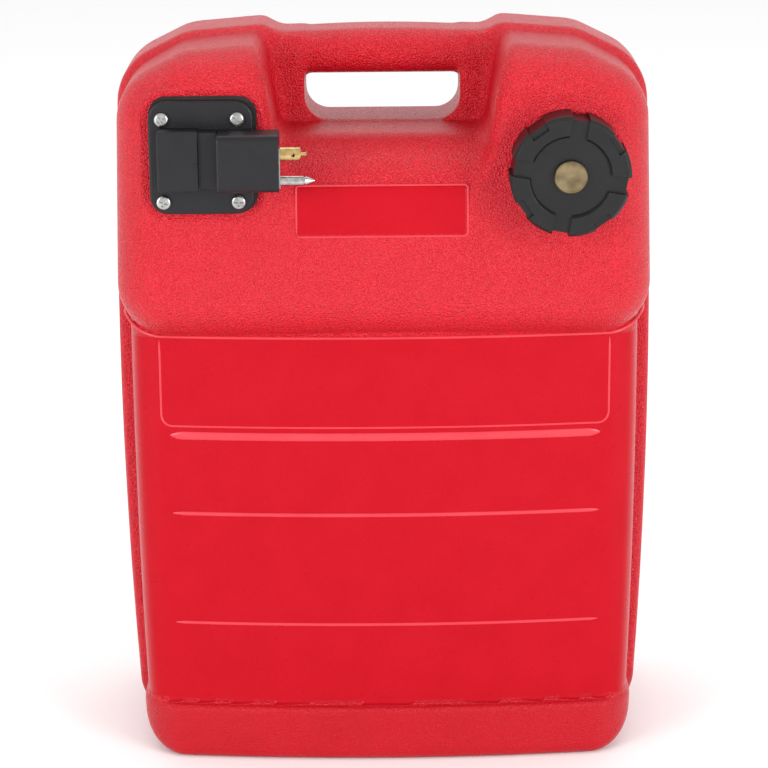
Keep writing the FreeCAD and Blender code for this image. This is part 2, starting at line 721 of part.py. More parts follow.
def build_outlet_plate():
    """Plate, raised block and spigot in one moulding, with its fuel gallery."""
    plate = rounded_block("plate_sheet", FRONT_PLANE, "dims.plate_width", "dims.plate_height",
                          "dims.plate_thickness", "dims.plate_corner", "1.2")
    place(plate, "dims.plate_x", PLATE_BACK, "dims.plate_z")
    block = rounded_block("plate_block", FRONT_PLANE, "dims.block_width", "dims.block_height",
                          "dims.block_depth", "1.5", "0.8")
    place(block, "dims.block_x", PLATE_BACK, "dims.plate_z + 0.5")
    arm = rounded_block("plate_arm", FRONT_PLANE, "13.3", "35", "dims.arm_depth", "0.6")
    place(arm, "dims.housing_left - 6.65", PLATE_BACK, "dims.plate_z + 0.5")
    spigot = spigot_rod("plate_spigot", "dims.spigot_radius", -104, 18)
    gate_mark = rod_object("plate_gate_mark", "1.2", -114.5, 405.5, -121.7, 2)
    blank = fuse("plate_blank", [plate, block, arm, spigot, gate_mark])
    holes = [rod_object(f"plate_bolt_{index}", "2.2", x, z, -112, 20)
             for index, (x, z) in enumerate(screw_places())]
    holes.append(spigot_rod("plate_tube_bore", "dims.tube_radius", -dim("tube_front"), 20))
    holes.append(spigot_rod("plate_rise", "2.4", -116, 24))
    gallery = cross_rod("plate_gallery", "2", "40", "dims.spigot_x", "dims.plate_z + 3", "-114.5")
    return cut("outlet_plate", blank, holes + [gallery])


def build_connector_housing():
    """Moulded housing that holds the nipple and the guide pin."""
    length = "dims.housing_right - dims.housing_left"
    body = doc.addObject("PartDesign::Body", "housing_block")
    sketch = rectangle_sketch(body, "housing_sketch", SIDE_PLANE, "22", "dims.housing_high - dims.housing_low")
    pad = body.newObject("PartDesign::Pad", "housing_pad")
    pad.Profile = sketch
    bind(pad, Length=length)
    sketch.Visibility = False
    doc.recompute()
    front = pad.Shape.BoundBox.YMin
    left = pad.Shape.BoundBox.XMin

    def long_front(edge):
        return edge.BoundBox.YMax < front + 1e-3 and edge.BoundBox.XLength > 10

    def left_front(edge):
        return edge.BoundBox.YMax < front + 4.5 and edge.BoundBox.XMax < left + 1e-3 and edge.Length > 3

    rounded = round_edges(body, pad, long_front, "4")
    rounded = round_edges(body, rounded, left_front, "1.6")
    body.Tip = rounded
    place(body, "dims.housing_left", "11 - dims.housing_front", "(dims.housing_low + dims.housing_high) / 2")
    tools = [
        cross_rod("housing_nipple_bore", "dims.nipple_root", "40", "dims.housing_right - 23", "dims.nipple_z"),
        cross_rod("housing_guide_bore", "dims.guide_root", "40", "dims.housing_right - 21", "dims.guide_z"),
        cross_rod("housing_gallery", "2", "14", "dims.housing_left - 2", "dims.plate_z + 3", "-114.5"),
        cross_rod("housing_chamber", "5.5", "4", "dims.housing_left + 10.8", "dims.nipple_z - 0.5", "-118"),
    ]
    return cut("connector_housing", body, tools)


def build_fuel_nipple():
    """Brass nipple with a stepped bore, a chamfered tip and a cross hole."""
    height = "dims.nipple_z"
    back = "dims.housing_right - 23"
    face = "dims.housing_right + dims.clip_thickness"
    root = cross_rod("nipple_root_rod", "dims.nipple_root", "25", back, height)
    barrel = cross_rod("nipple_barrel", "dims.nipple_radius", f"dims.nipple_tip - 0.8 - ({face})", face, height)
    tip = cross_cone("nipple_nose", "dims.nipple_radius", "dims.nipple_radius - 0.7", "0.8",
                     "dims.nipple_tip - 0.8", height)
    wide = cross_rod("nipple_bore", "2.4", "dims.nipple_tip - 2.4 - dims.housing_right + 12",
                     "dims.housing_right - 12", height)
    through = cross_rod("nipple_through", "1.2", "60", back, height)
    cross = rod_object("nipple_cross_hole", "1.1", dim("nipple_tip") - 4.6, dim("nipple_z"),
                       -dim("pin_depth") - 6, 6)
    return cut("fuel_nipple", fuse("nipple_blank", [root, barrel, tip]), [wide, through, cross])


def build_valve_pin():
    """Poppet that the hose connector pushes in."""
    height = "dims.nipple_z"
    stem = cross_rod("poppet_stem", "1.1", "8.3", "dims.nipple_tip - 4.8", height)
    nose = cross_cone("poppet_nose", "1.1", "0.6", "0.4", "dims.nipple_tip + 3.5", height)
    head = cross_rod("poppet_head", "2.1", "2", "dims.nipple_tip - 6.8", height)
    tail = cross_rod("poppet_tail", "0.8", "6", "dims.nipple_tip - 12.8", height)
    return fuse("valve_pin", [stem, nose, head, tail])


def build_valve_seal():
    """Rubber ring that the poppet closes against."""
    ring = cross_rod("seal_ring", "2.4", "2.1", "dims.nipple_tip - 4.6", "dims.nipple_z")
    hole = cross_rod("seal_ring_hole", "1.25", "10", "dims.nipple_tip - 8", "dims.nipple_z")
    return cut("valve_seal", ring, [hole])


def build_valve_spring():
    """Coil behind the poppet's head."""
    wire_radius, coil_radius, turns = 0.3, 1.6, 7
    length = (dim("nipple_tip") - 6.8) - (dim("housing_right") - 12) - 2 * wire_radius
    pitch = length / turns
    helix = Part.makeHelix(pitch, length, coil_radius)
    section = Part.Wire(Part.Circle(Vector(coil_radius, 0, 0), Vector(0, 1, 0), wire_radius).toShape())
    coil = Part.Wire(helix.Edges).makePipeShell([section], True, True)
    spring = shape_feature("valve_spring", coil)
    print("valve spring: least gap between turns", round(pitch - 2 * wire_radius, 2), "mm")
    return place(spring, f"dims.housing_right - 12 + {wire_radius}", "-dims.pin_depth", "dims.nipple_z",
                 (0, 1, 0), 90)


def build_guide_pin():
    """Steel guide pin with a catch groove and a pointed end."""
    height = "dims.guide_z"
    face = "dims.housing_right + dims.clip_thickness"
    root = cross_rod("guide_root_rod", "dims.guide_root", "23", "dims.housing_right - 21", height)
    shank = cross_rod("guide_shank", "dims.guide_radius", f"dims.guide_tip - 6.8 - ({face})", face, height)
    neck = cross_rod("guide_neck", "dims.guide_radius - 0.8", "1.4", "dims.guide_tip - 6.8", height)
    point = cross_cone("guide_point", "dims.guide_radius", "0.4", "5.5", "dims.guide_tip - 5.5", height)
    return fuse("guide_pin", [root, shank, neck, point])


def build_connector_plate():
    """Thin steel plate that clips both pins at the housing's face."""
    blank = box("clip_blank", "dims.clip_thickness", "9", "dims.nipple_z - dims.guide_z + 8",
                x="dims.housing_right", y="-dims.pin_depth - 4.5", z="dims.guide_z - 4")
    behind = "dims.housing_right - 5"
    nipple_hole = cross_rod("clip_nipple_hole", "dims.nipple_root", "10", behind, "dims.nipple_z")
    guide_hole = cross_rod("clip_guide_hole", "dims.guide_root", "10", behind, "dims.guide_z")
    return cut("connector_plate", blank, [nipple_hole, guide_hole])


def build_outlet_screws():
    """Four pan-head screws with cross recesses."""
    face = seat_depth() - dim("gasket_thickness") - dim("plate_thickness")
    screws = []
    for index, (x, z) in enumerate(screw_places()):
        head = rod_object(f"screw_head_{index}", "dims.screw_head_radius", x, z, face - 2.6, 2.6)
        domed = doc.addObject("Part::Fillet", f"screw_dome_{index}")
        domed.Base = head
        doc.recompute()
        front_edge = [number for number, edge in enumerate(head.Shape.Edges, start=1)
                      if edge.BoundBox.YMax < face - 2.5][0]
        domed.Edges = [(front_edge, 1.5, 1.5)]
        shank = rod_object(f"screw_shank_{index}", "dims.screw_shank_radius", x, z, face - 0.1, 15.5)
        slots = []
        for turn in (20 + 35 * index, 110 + 35 * index):
            slots.append(swung_box(f"screw_slot_{index}_{turn}", (5.4, 1.6, 1.1), (x, face - 2.7, z),
                                   (-2.7, 0, -0.55), Rotation(Vector(0, 1, 0), turn)))
        screws.append(cut(f"screw_{index}", fuse(f"screw_blank_{index}", [domed, shank]), slots))
    group = doc.addObject("Part::Compound", "outlet_screws")
    group.Links = screws
    return group


def build_seat_inserts():
    """Four brass bushes in the tank's bosses, one for each screw."""
    bushes = []
    for index, (x, z) in enumerate(screw_places()):
        bush = rod_object(f"insert_blank_{index}", "dims.insert_radius", x, z, seat_depth(), dim("insert_length"))
        hole = rod_object(f"insert_hole_{index}", "dims.screw_shank_radius + 0.05", x, z, seat_depth() - 1, 20)
        bushes.append(cut(f"insert_{index}", bush, [hole]))
    group = doc.addObject("Part::Compound", "seat_inserts")
    group.Links = bushes
    return group


def build_pickup_tube():
    """Tube from the outlet to the floor of the tank when it lies on its back."""
    front = -dim("tube_front")
    length = dim("tube_stop") - front
    outer = spigot_rod("tube_blank", "dims.tube_radius", front, length)
    bore = spigot_rod("tube_hole", "dims.tube_bore", front - 1, length + 2)
    return cut("pickup_tube", outer, [bore])


def build_pickup_strainer():
    """Slotted cup round the end of the pickup tube."""
    far = dim("tube_stop")
    cup = spigot_rod("strainer_blank", "8", far - 16, 18)
    well = spigot_rod("strainer_well", "6.4", far - 13, 13.5)
    socket = spigot_rod("strainer_socket", "dims.tube_radius", far - 20, 14)
    middle = (dim("spigot_x"), far - 12, dim("spigot_z"))
    slots = [swung_box(f"strainer_slot_{index}", (12, 10, 1.4), middle, (4, 0, -0.7),
                       Rotation(Vector(0, 1, 0), 60 * index)) for index in range(6)]
    return cut("pickup_strainer", cup, [well, socket] + slots)


BUILDERS = [
    build_tank_shell, build_cap_body, build_cap_gasket, build_vent_insert, build_vent_seal, build_vent_screw,
    build_outlet_gasket, build_outlet_plate, build_outlet_screws, build_seat_inserts,
    build_connector_housing, build_fuel_nipple, build_valve_pin, build_valve_seal, build_valve_spring,
    build_guide_pin, build_connector_plate, build_pickup_tube, build_pickup_strainer,
]

subparts = [build() for build in BUILDERS]
doc.recompute()

for obj in doc.Objects:
    if {"Invalid", "Error"} & set(obj.State):
        raise RuntimeError(f"{obj.Label} failed: {obj.State}")

for obj in subparts:
    shape = obj.Shape
    if shape.isNull() or not shape.isValid():
        raise RuntimeError(f"{obj.Label} has no valid shape")
    print(f"{obj.Label:20s} solids {len(shape.Solids):2d}  volume {shape.Volume / 1000:9.2f} ml")

for obj in subparts:
    obj.Shape.exportStep(os.path.join("parts", obj.Label + ".step"))

print("fuel space", round(moulded_form(dim("wall")).Volume / 1e6, 2), "litres")
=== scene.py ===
import json
import math

import bpy
import numpy as np
from mathutils import Matrix, Vector

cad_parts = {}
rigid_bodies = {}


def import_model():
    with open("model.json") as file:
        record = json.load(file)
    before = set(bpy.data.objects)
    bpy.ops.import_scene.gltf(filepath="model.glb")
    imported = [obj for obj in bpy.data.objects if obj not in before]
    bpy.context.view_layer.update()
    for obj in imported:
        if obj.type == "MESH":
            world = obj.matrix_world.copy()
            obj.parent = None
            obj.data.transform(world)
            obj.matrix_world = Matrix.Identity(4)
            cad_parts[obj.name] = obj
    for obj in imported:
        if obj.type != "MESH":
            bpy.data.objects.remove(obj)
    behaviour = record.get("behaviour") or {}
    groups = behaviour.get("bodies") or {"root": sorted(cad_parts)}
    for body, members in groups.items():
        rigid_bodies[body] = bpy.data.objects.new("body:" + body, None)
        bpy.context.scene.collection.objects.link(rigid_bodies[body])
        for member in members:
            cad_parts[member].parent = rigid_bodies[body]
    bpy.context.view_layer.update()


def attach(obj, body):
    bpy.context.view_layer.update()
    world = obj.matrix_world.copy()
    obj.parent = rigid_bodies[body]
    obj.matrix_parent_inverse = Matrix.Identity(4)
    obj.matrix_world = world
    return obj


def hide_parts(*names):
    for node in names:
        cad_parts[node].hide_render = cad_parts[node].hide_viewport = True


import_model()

# Lengths are written in millimetres and turned into metres as they are used.
MM = 0.001

# Camera: in front of the tank, looking down a little.
CAMERA_ELEVATION = math.radians(16.0)
CAMERA_DISTANCE = 1800 * MM
CAMERA_TARGET_HEIGHT = 232 * MM
CAMERA_ROLL = math.radians(-0.5)
CAMERA_SIDE = -0.5 * MM
CAMERA_LENS = 126.6
SENSOR_WIDTH = 36.0

# Moulding, seen from the front
SHOULDER_PEAK_AT = 76.0
SHOULDER_PEAK = 476.4
NOTCH = (63.0, 470.0)
NOTCH_RADIUS = 12
SLOPE_END = (124.0, 472.4)
SLOPE_RADIUS = 36.0
SHOULDER = (168.6, 450.5)
SHOULDER_RADIUS = 39.0
SIDE_SWELL = (177.0, 227.4)
SIDE_RADIUS = 3900.0
FOOT_HALF = 165.6
FOOT_RADIUS = 35.0
HANDLE_TOP = 471.5
STEP = 4.0
BACK_STEP = 15.0
HEAD_BOTTOM = 287.0
HEAD_CORNER = 34

# Moulding, front to back
GIRDLE_HALF = 25.0
FRONT_DEPTH = 100.0
BACK_DEPTH = 93.0
PANEL_DEPTH = 84.0
PANEL_BACK = 89.0
PANEL_HALF = 166.0
PANEL_CROWN = 8.0
PANEL_LOW = 12
PANEL_HIGH = 327
PANEL_ROUND = 27.0
CROWN_RADIUS = 1170.0
BASE_HEIGHT = 37.6
BASE_ROUND = 6.5
BASE_LEDGE = 6.0
BASE_HALF = 161.5

# Widest point of the solids at each side
SIDE_MOST = 173.27

# Hand slot
GRIP_HALF = 49.5
GRIP_FLOOR = 415.0
GRIP_ROOF = 443.5
SHELF_HEIGHT = 414.0
FLARE_LOW = (54.0, 340.0)
FLARE_HIGH = (85.0, 540.0)
SHELF_END = 101
SHELF_ROLL = 41
SHELF_DROP = 41.5
REAR_ROLL = 37
VALLEY_RADIUS = 8.0
RIDGE_RADIUS = 8.0
HANDLE_ROUND = 13
HANDLE_REACH = 66

# Beyond the tank, upwards and in depth
HIGH = 600
FAR = 220

# Lines on the panel and head; each rib's height on the tank and half its own height
RIBS = ((221.0, 2.9), (168.5, 1.4), (93.5, 1.15))
RIB_HALF_LENGTH = 137.5
RIB_PROUD = 0.8
FOOT_ARC_START = 140.6
FOOT_ARC = 34.0

# Bare plate on the head
PLAQUE_LEFT, PLAQUE_RIGHT = -53.7, 52.2
PLAQUE_LOW, PLAQUE_HIGH = 355.5, 387.8

# Filler and outlet
CAP_CENTRE = (113.7, 397.4)
PLATE_CENTRE = (-111.0, 407.0)
PLATE_SIZE = (64.0, 70.0)
PLATE_CORNER = 11.0
LAND_MARGIN = 4
SEAT_DEPTH = 99.2

# Spacing of the field's grid
VOXEL = 2.2

SKY_STRENGTH = 0.98


# Outlines: corners (u, v, radius) of a closed polygon whose corners are rounded


def rounded_points(corners):
    """Points round the polygon, with each corner's arc worked out from its radius."""
    points = []
    count = len(corners)
    for index, (u, v, radius) in enumerate(corners):
        corner = np.array([u, v])
        before = np.array(corners[index - 1][:2]) - corner
        after = np.array(corners[(index + 1) % count][:2]) - corner
        before = before / np.linalg.norm(before)
        after = after / np.linalg.norm(after)
        half = math.acos(max(-1.0, min(1.0, float(before @ after)))) / 2
        bisector = (before + after) / np.linalg.norm(before + after)
        centre = corner + bisector * radius / math.sin(half)
        start = corner + before * radius / math.tan(half) - centre
        end = corner + after * radius / math.tan(half) - centre
        sweep = math.pi - 2 * half
        turn = np.sign(start[0] * end[1] - start[1] * end[0])
        steps = max(3, int(sweep * 24), int(sweep * radius / 8))
        for step in range(steps + 1):
            angle = turn * sweep * step / steps
            cosine, sine = math.cos(angle), math.sin(angle)
            points.append(centre + (cosine * start[0] - sine * start[1], sine * start[0] + cosine * start[1]))
    return np.array(points)


def mirrored(right_side):
    """Corners of a symmetric outline from its right side, listed upwards."""
    return right_side + [(-u, v, radius) for u, v, radius in reversed(right_side)]


def outline_distance(corners, u, v):
    """Signed distance to a rounded outline on a grid of u by v, negative inside."""
    points = rounded_points(corners)
    u, v = np.meshgrid(u, v, indexing="ij")
    nearest = np.full(u.shape, np.inf)
    inside = np.zeros(u.shape, bool)
    for (u0, v0), (u1, v1) in zip(points, np.roll(points, -1, axis=0)):
        du, dv = u1 - u0, v1 - v0
        length = du * du + dv * dv
        if length < 1e-12:
            continue
        along = np.clip(((u - u0) * du + (v - v0) * dv) / length, 0, 1)
        nearest = np.minimum(nearest, (u - u0 - along * du) ** 2 + (v - v0 - along * dv) ** 2)
        if v0 != v1:
            crosses = ((v0 > v) != (v1 > v)) & (u < du * (v - v0) / dv + u0)
            inside ^= crosses
    return np.where(inside, -1.0, 1.0) * np.sqrt(nearest)


def join(a, b, radius):
    """Union of two distance fields with a fillet of the given radius."""
    fillet = np.sqrt(np.maximum(radius - a, 0) ** 2 + np.maximum(radius - b, 0) ** 2)
    return np.maximum(radius, np.minimum(a, b)) - fillet


def meet(a, b, radius):
    """Intersection of two distance fields with a rounded edge of the given radius."""
    return -join(-a, -b, radius)


def carve(a, tool, radius):
    """A field less a tool, with a rounded edge."""
    return meet(a, -tool, radius)


def crowned_plan(front, half_width, back, radius):
    """Plan outline with a crowned front, round corners and a flat back."""
    corner_front = -front + 2 * PANEL_CROWN * (half_width / 141 - 0.5)
    return [(half_width, corner_front, radius), (half_width, back, radius - 3),
            (-half_width, back, radius - 3), (-half_width, corner_front, radius),
            (0, -front - PANEL_CROWN, CROWN_RADIUS)]


def tank_field(x, y, z):
    """Distance field of the whole moulding in millimetres."""
    front_view = outline_distance(mirrored([
        (FOOT_HALF, 0, FOOT_RADIUS), (*SIDE_SWELL, SIDE_RADIUS), (*SHOULDER, SHOULDER_RADIUS),
        (*SLOPE_END, SLOPE_RADIUS), (SHOULDER_PEAK_AT, SHOULDER_PEAK, NOTCH_RADIUS),
        (*NOTCH, NOTCH_RADIUS)]), x, z)
    head_view, back_view = (outline_distance(mirrored([
        (SIDE_SWELL[0] - 2 * STEP, HEAD_BOTTOM, HEAD_CORNER),
        (SHOULDER[0] - STEP, SHOULDER[1] - step, SHOULDER_RADIUS - 2),
        (SLOPE_END[0] - 1, SLOPE_END[1] - step, SLOPE_RADIUS),
        (SHOULDER_PEAK_AT, SHOULDER_PEAK - step, NOTCH_RADIUS),
        (NOTCH[0] - 1, NOTCH[1] - 2.5 - step, NOTCH_RADIUS)]), x, z) for step in (STEP, BACK_STEP))
    panel_plan = outline_distance(crowned_plan(PANEL_DEPTH, PANEL_HALF, PANEL_BACK, PANEL_ROUND), x, y)
    base_plan = outline_distance(crowned_plan(PANEL_DEPTH + BASE_LEDGE, BASE_HALF, BACK_DEPTH,
                                              PANEL_ROUND + 3), x, y)
    slot_view = outline_distance(mirrored([(GRIP_HALF, GRIP_FLOOR, 15), (GRIP_HALF, HIGH, 9)]), x, z)
    flare_view = outline_distance(mirrored([(*FLARE_LOW, 5), (*FLARE_HIGH, 5)]), x, z)
    shelf_view = outline_distance([(-GIRDLE_HALF, HIGH, 1), (-GIRDLE_HALF, SHELF_HEIGHT, 3),
                                   (-SHELF_END, SHELF_HEIGHT, SHELF_ROLL),
                                   (-SHELF_END, SHELF_HEIGHT - SHELF_DROP, 0.3),
                                   (-FAR, SHELF_HEIGHT - SHELF_DROP, 1), (-FAR, HIGH, 1)], y, z)
    rear_view = outline_distance([(GIRDLE_HALF, HIGH, 1), (GIRDLE_HALF, SHELF_HEIGHT - 1, 1),
                                  (GIRDLE_HALF + REAR_ROLL, SHELF_HEIGHT - 1, REAR_ROLL - 1),
                                  (GIRDLE_HALF + REAR_ROLL, 378, 0.3),
                                  (FAR, 365, 1), (FAR, HIGH, 1)], y, z)

    front_view, head_view, back_view, slot_view, flare_view = (
        field[:, None, :].astype(np.float32)
        for field in (front_view, head_view, back_view, slot_view, flare_view))
    panel_plan, base_plan = (field[:, :, None].astype(np.float32) for field in (panel_plan, base_plan))
    shelf_view, rear_view = (field[None, :, :].astype(np.float32) for field in (shelf_view, rear_view))
    x, y, z = x[:, None, None], y[None, :, None], z[None, None, :]

    girdle = meet(front_view, np.abs(y) - GIRDLE_HALF, 5)
    head = np.maximum(meet(head_view, -y - FRONT_DEPTH, 28), y - 2)
    back = np.maximum(meet(back_view, y - BACK_DEPTH, 24), -y)
    panel = meet(panel_plan, front_view + 2 * STEP, 10)
    panel = np.maximum(panel, np.maximum(z - PANEL_HIGH, PANEL_LOW - z))
    base = meet(meet(base_plan, front_view, BASE_ROUND), z - BASE_HEIGHT, 3)
    body = join(girdle, head, 2)
    body = join(body, back, 2)
    body = join(body, panel, 1.5)
    body = join(body, base, 1.5)

    ridge = 1 + RIDGE_RADIUS * np.clip((z - 388) / 22, 0, 1)
    body = carve(body, meet(flare_view, shelf_view, VALLEY_RADIUS), ridge)
    body = carve(body, meet(flare_view, rear_view, VALLEY_RADIUS), ridge)
    body = carve(body, np.maximum(slot_view, np.abs(y) - 40), 1.4)
    handle = meet(np.abs(y) - GIRDLE_HALF, z - (HANDLE_TOP + 0.7 - 2.2 * (x / 60) ** 2), HANDLE_ROUND)
    handle = meet(handle, GRIP_ROOF - z, HANDLE_ROUND)
    handle = np.maximum(handle, np.abs(x) - HANDLE_REACH)
    body = join(body, handle, 4)

    plate_x, plate_z = PLATE_CENTRE
    inset = PLATE_CORNER + LAND_MARGIN
    beside = np.abs(x - plate_x) - PLATE_SIZE[0] / 2 - LAND_MARGIN + inset
    above = np.abs(z - plate_z) - PLATE_SIZE[1] / 2 - LAND_MARGIN + inset
    land_view = np.hypot(np.maximum(beside, 0), np.maximum(above, 0)) + np.minimum(
        np.maximum(beside, above), 0) - inset
    land = np.maximum(np.maximum(land_view - 2.5, -y - FRONT_DEPTH), y + 92)
    body = join(body, land, 2)
    body = carve(body, np.maximum(land_view, y + SEAT_DEPTH), 1)
    filler_view = np.hypot(x - CAP_CENTRE[0], z - CAP_CENTRE[1])
    seat = meet(filler_view - 38.5, -y - FRONT_DEPTH - 0.6, 0.6)
    return join(body, np.maximum(seat, y + 92), 1.5)


# Surface of a field: one point in each cell that the surface crosses, then pulled onto it


def surface_cells(field, origin, step):
    """Points and quads of the surface where a field is zero."""
    shape = np.array(field.shape)
    cells = shape - 1
    cell_ids, crossings, quads = [], [], []
    inside = field < 0
    for axis in range(3):
        others = [other for other in range(3) if other != axis]
        low = [slice(None)] * 3
        high = [slice(None)] * 3
        low[axis] = slice(0, -1)
        high[axis] = slice(1, None)
        changed = inside[tuple(low)] != inside[tuple(high)]
        where = np.argwhere(changed)
        first = field[tuple(low)][changed]
        second = field[tuple(high)][changed]
        points = where.astype(float)
        points[:, axis] += first / (first - second)
        ring = []
        for back_a, back_b in ((1, 1), (0, 1), (0, 0), (1, 0)):
            cell = where.copy()
            cell[:, others[0]] -= back_a
            cell[:, others[1]] -= back_b
            flat = (cell[:, 0] * cells[1] + cell[:, 1]) * cells[2] + cell[:, 2]
            ring.append(flat)
            cell_ids.append(flat)
            crossings.append(points)
        ring = np.stack(ring, axis=1)
        outward = (first < 0) != (axis == 1)
        ring[~outward] = ring[~outward][:, ::-1]
        quads.append(ring)
    cell_ids = np.concatenate(cell_ids)
    crossings = np.concatenate(crossings)
    used, where = np.unique(cell_ids, return_inverse=True)
    count = np.bincount(where)
    points = np.stack([np.bincount(where, weights=crossings[:, axis]) / count for axis in range(3)], axis=1)
    quads = np.searchsorted(used, np.concatenate(quads))
    return origin + points * step, quads


def sampled(field, places):
    """Value of a field at places given in grid units."""
    base = np.clip(np.floor(places).astype(int), 0, np.array(field.shape) - 2)
    part = places - base
    total = 0.0
    for corner in np.ndindex(2, 2, 2):
        weight = np.prod([part[:, axis] if corner[axis] else 1 - part[:, axis] for axis in range(3)], axis=0)
        index = tuple(base[:, axis] + corner[axis] for axis in range(3))
        total = total + weight * field[index]
    return total


def pulled_on(points, field, origin, step, rounds=3):
    """Points moved along the field's slope until they lie on the surface."""
    slopes = [slope.astype(np.float32) for slope in np.gradient(field, step)]
    for _ in range(rounds):
        places = (points - origin) / step
        value = sampled(field, places)
        slope = np.stack([sampled(part, places) for part in slopes], axis=1)
        steepness = np.maximum((slope ** 2).sum(axis=1), 0.25)
        points = points - slope * (value / steepness)[:, None] * 0.9
    return points


# Meshes


def mesh_object(name, points, faces, smooth=True):
    """Mesh object from points in metres and lists of corner numbers."""
    mesh = bpy.data.meshes.new(name)
    mesh.from_pydata([tuple(point) for point in points], [], [tuple(face) for face in faces])
    mesh.update()
    mesh.polygons.foreach_set("use_smooth", [smooth] * len(mesh.polygons))
    obj = bpy.data.objects.new(name, mesh)
    bpy.context.scene.collection.objects.link(obj)
    return obj


def quad_object(name, points, quads):
    """Smooth mesh object from arrays of points in metres and quads."""
    mesh = bpy.data.meshes.new(name)
    mesh.vertices.add(len(points))
    mesh.vertices.foreach_set("co", points.astype(np.float32).ravel())
    mesh.loops.add(quads.size)
    mesh.loops.foreach_set("vertex_index", quads.astype(np.int32).ravel())
    mesh.polygons.add(len(quads))
    mesh.polygons.foreach_set("loop_start", np.arange(0, quads.size, 4, dtype=np.int32))
    mesh.polygons.foreach_set("use_smooth", np.ones(len(quads), bool))
    mesh.update(calc_edges=True)
    mesh.validate()
    obj = bpy.data.objects.new(name, mesh)
    bpy.context.scene.collection.objects.link(obj)
    return obj


def build_shell():
    """The moulding's visible skin."""
    margin = 3 * VOXEL
    low = np.array([-175.0, -FRONT_DEPTH - 1, 0.0]) - margin
    high = np.array([175.0, BACK_DEPTH, SHOULDER_PEAK]) + margin
    axes = [np.arange(low[axis], high[axis], VOXEL) for axis in range(3)]
    field = tank_field(*axes)
    points, quads = surface_cells(field, low, VOXEL)
    points = pulled_on(points, field, low, VOXEL)
    points = np.clip(points, (-SIDE_MOST, low[1], 0.0), (SIDE_MOST, BACK_DEPTH, SHOULDER_PEAK))
    return quad_object("tank_skin", points * MM, quads)


def set_grain(obj):
    """Grain at each vertex: full on band, head and handle, half on the base, hardly any on the panel."""
    points = np.empty(len(obj.data.vertices) * 3, np.float32)
    obj.data.vertices.foreach_get("co", points)
    x, y, z = (points.reshape(-1, 3) / MM).T
    on_panel = (z > BASE_HEIGHT + 1) & (z < HEAD_BOTTOM - 1) & (np.abs(y) > GIRDLE_HALF + 1)
    on_plaque = ((x > PLAQUE_LEFT) & (x < PLAQUE_RIGHT) & (z > PLAQUE_LOW) & (z < PLAQUE_HIGH)
                 & (y < -FRONT_DEPTH + 2))
    # The same value also scales the painted glints in the red colour, not only the grain.
    grain = np.where(on_panel | on_plaque, 0.08, np.where(z < BASE_HEIGHT, 0.5, 1.0))
    attribute = obj.data.attributes.new("grain", "FLOAT", "POINT")
    attribute.data.foreach_set("value", grain.astype(np.float32))


shell = build_shell()
set_grain(shell)
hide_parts("tank_shell")
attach(shell, "tank")


# Filler neck with its thread, seen when the cap is off


def build_neck():
    """Neck tube with a two-turn thread ridge outside."""
    steps = 96
    profile = [(25.5, -92.0), (25.5, -120.2), (26.3, -121.0), (28.4, -121.0), (29.0, -120.4), (29.0, -92.0)]
    points, faces = [], []
    for step in range(steps):
        angle = 2 * math.pi * step / steps
        for radius, depth in profile:
            points.append((CAP_CENTRE[0] + radius * math.cos(angle), depth,
                           CAP_CENTRE[1] + radius * math.sin(angle)))
    count = len(profile)
    for step in range(steps):
        follow = (step + 1) % steps
        for index in range(count - 1):
            faces.append((step * count + index, step * count + index + 1,
                          follow * count + index + 1, follow * count + index))
    root, crest = 28.6, 31.2
    ridge = [(root, 1.9), (crest, 0.6), (crest, -0.6), (root, -1.9)]
    first = len(points)
    ridge_steps = 2 * steps
    for step in range(ridge_steps + 1):
        angle = 2 * math.pi * step / steps
        fade = min(1.0, step / 8, (ridge_steps - step) / 8)
        depth = -104.5 - 6.0 * step / steps
        for radius, offset in ridge:
            shown = root + (radius - root) * fade
            points.append((CAP_CENTRE[0] + shown * math.cos(angle), depth + offset,
                           CAP_CENTRE[1] + shown * math.sin(angle)))
    for step in range(ridge_steps):
        for index in range(3):
            start = first + step * 4 + index
            faces.append((start, start + 4, start + 5, start + 1))
    return mesh_object("tank_neck", np.array(points) * MM, faces)


neck = build_neck()
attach(neck, "tank")


# Thin raised lines moulded on the surface


def bead(name, path, half_height, proud):
    """Rounded line along a path in millimetres, half_height across and proud towards the front."""
    path = np.array(path, float)
    tangent = np.gradient(path, axis=0)
    tangent /= np.linalg.norm(tangent, axis=1)[:, None]
    outward = np.array([0.0, -1.0, 0.0]) - tangent * (tangent @ np.array([0.0, -1.0, 0.0]))[:, None]
    short = np.linalg.norm(outward, axis=1) < 0.2
    outward[short] = np.array([1.0, 0.0, 0.0]) * np.sign(path[short, :1])
    outward /= np.linalg.norm(outward, axis=1)[:, None]
    across = np.cross(tangent, outward)
    sides = 10
    points, faces = [], []
    last = len(path) - 1
    for index, place in enumerate(path):
        end = min(index, last - index)
        taper = (0.15, 0.6, 0.85)[end] if end < 3 else 1.0
        for side in range(sides):
            angle = 2 * math.pi * side / sides
            points.append(place + taper * (across[index] * half_height * math.cos(angle)
                                           + outward[index] * proud * math.sin(angle)))
    for index in range(last):
        for side in range(sides):
            follow = (side + 1) % sides
            faces.append((index * sides + side, index * sides + follow,
                          (index + 1) * sides + follow, (index + 1) * sides + side))
    obj = mesh_object(name, np.array(points) * MM, faces)
    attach(obj, "tank")
    return obj


def panel_outline(ahead_of):
    """Points of the panel's plan ahead of a depth."""
    points = rounded_points(crowned_plan(PANEL_DEPTH, PANEL_HALF, PANEL_BACK, PANEL_ROUND))
    return points[points[:, 1] < ahead_of]


def panel_front(x):
    """Depth of the panel's crowned front at x."""
    front = panel_outline(-GIRDLE_HALF)
    front = front[np.argsort(front[:, 0])]
    return float(np.interp(x, front[:, 0], front[:, 1]))


